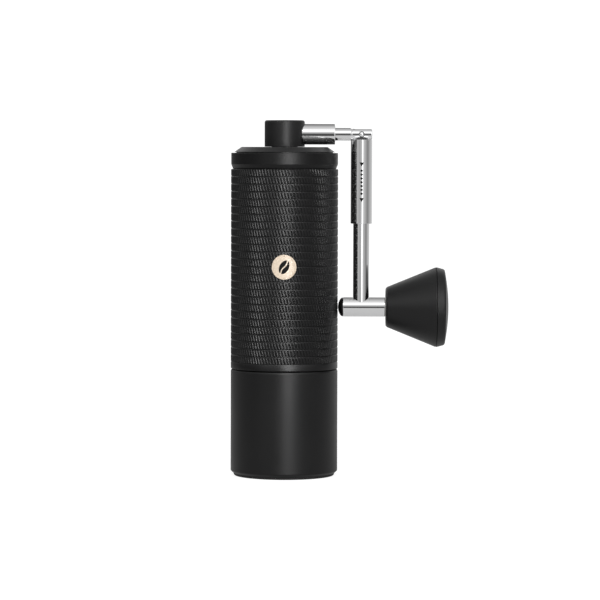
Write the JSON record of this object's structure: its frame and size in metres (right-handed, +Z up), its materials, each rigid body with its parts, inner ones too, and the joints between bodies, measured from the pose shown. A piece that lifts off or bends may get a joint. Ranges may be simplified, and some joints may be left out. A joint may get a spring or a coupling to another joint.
{
  "type": "hand crank coffee grinder",
  "caption": "Slim cylindrical hand coffee grinder with a folding side crank, cone knob, bean hopper, conical burrs and screw-on catch cup.",
  "frame": {"origin": "centre of the foot pad's bottom face, on the grinder's axis", "axes": "+Z up the grinder's axis towards the crank hub; the folded crank arm lies on the +X side; the badge faces -Y"},
  "size_m": [0.1058, 0.0521, 0.1727],
  "materials": {
    "black_anodised": "fine matt anodised",
    "foot_rubber": "matt moulded",
    "badge_enamel": "smooth satin enamel",
    "black_plastic": "moulded",
    "raw_aluminium": "turned",
    "burr_steel": "ground",
    "bearing_steel": "ground and polished",
    "cage_brass": "pressed",
    "spring_steel": "drawn wire",
    "shaft_steel": "turned",
    "silicone": "soft",
    "bush_plastic": "turned acetal",
    "polished_steel": "finely polished",
    "knob_plastic": "satin"
  },
  "bodies": {
    "cup": {"catch_cup": "black_anodised", "foot_pad": "foot_rubber"},
    "mill": {"outer_body": "black_anodised", "body_badge": "badge_enamel", "top_collar": "black_anodised", "hopper_liner": "black_plastic", "burr_carrier": "raw_aluminium", "upper_bracket": "raw_aluminium", "lower_bracket": "raw_aluminium", "upper_bearing_outer": "bearing_steel", "lower_bearing_outer": "bearing_steel", "bearing_clips": "spring_steel", "ring_burr": "burr_steel", "burr_screws": "shaft_steel"},
    "shaft": {"drive_shaft": "shaft_steel", "upper_bearing_inner": "bearing_steel", "lower_bearing_inner": "bearing_steel", "shaft_circlip": "spring_steel", "burr_key": "shaft_steel", "burr_spring": "spring_steel"},
    "upper_balls": {"upper_bearing_balls": "bearing_steel", "upper_bearing_cage": "cage_brass"},
    "lower_balls": {"lower_bearing_balls": "bearing_steel", "lower_bearing_cage": "cage_brass"},
    "cone": {"cone_burr": "burr_steel"},
    "dial": {"grind_dial": "black_plastic", "click_balls": "bearing_steel", "click_springs": "spring_steel"},
    "lid": {"lid_cover": "black_anodised", "lid_seal": "silicone", "lid_bush": "bush_plastic"},
    "crank": {"crank_hub": "black_anodised", "drive_socket": "shaft_steel", "lid_washer": "bush_plastic", "hub_circlip": "spring_steel", "crank_stub": "polished_steel", "hinge_pin": "polished_steel"},
    "arm": {"arm_rod": "polished_steel", "cross_tube": "polished_steel", "arm_bumper": "foot_rubber", "knob_axle": "shaft_steel", "axle_washer": "bush_plastic", "sleeve_spring": "spring_steel"},
    "sleeve": {"lock_sleeve": "polished_steel"},
    "knob": {"knob_body": "knob_plastic", "knob_cap": "knob_plastic", "knob_bush_inner": "bush_plastic", "knob_bush_outer": "bush_plastic"}
  },
  "joints": [
    {"name": "mill_lift", "type": "slide", "parent": "cup", "child": "mill", "axis": [0, 0, 1], "range_m": [0, 0.05]},
    {"name": "lid_lift", "type": "slide", "parent": "mill", "child": "lid", "axis": [0, 0, 1], "range_m": [0, 0.04]},
    {"name": "crank_spin", "type": "hinge", "parent": "lid", "child": "crank", "pos_m": [0, 0, 0.1659], "axis": [0, 0, 1], "continuous": true},
    {"name": "arm_fold", "type": "hinge", "parent": "crank", "child": "arm", "pos_m": [0.0373, 0, 0.1659], "axis": [0, -1, 0], "range_deg": [0, 90]},
    {"name": "sleeve_pull", "type": "slide", "parent": "arm", "child": "sleeve", "axis": [0, 0, -1], "range_m": [0, 0.0086], "deforming": ["sleeve_spring"]},
    {"name": "knob_spin", "type": "hinge", "parent": "arm", "child": "knob", "pos_m": [0.065, 0, 0.08205], "axis": [1, 0, 0], "continuous": true},
    {"name": "shaft_spin", "type": "hinge", "parent": "mill", "child": "shaft", "pos_m": [0, 0, 0.1], "axis": [0, 0, 1], "continuous": true},
    {"name": "upper_balls_roll", "type": "hinge", "parent": "mill", "child": "upper_balls", "pos_m": [0, 0, 0.13], "axis": [0, 0, 1], "continuous": true},
    {"name": "lower_balls_roll", "type": "hinge", "parent": "mill", "child": "lower_balls", "pos_m": [0, 0, 0.079], "axis": [0, 0, 1], "continuous": true},
    {"name": "burr_feed", "type": "slide", "parent": "shaft", "child": "cone", "axis": [0, 0, -1], "range_m": [0, 0.0021], "deforming": ["burr_spring"]},
    {"name": "dial_turn", "type": "hinge", "parent": "cone", "child": "dial", "pos_m": [0, 0, 0.047], "axis": [0, 0, 1], "range_deg": [0, 720]}
  ],
  "couplings": [
    {"joint": "shaft_spin", "follows": "crank_spin", "ratio": 1},
    {"joint": "upper_balls_roll", "follows": "crank_spin", "ratio": 0.4},
    {"joint": "lower_balls_roll", "follows": "crank_spin", "ratio": 0.4},
    {"joint": "sleeve_pull", "follows": "arm_fold", "m_per_rad": 0.00542},
    {"joint": "burr_feed", "follows": "dial_turn", "m_per_rad": 0.00015915}
  ]
}
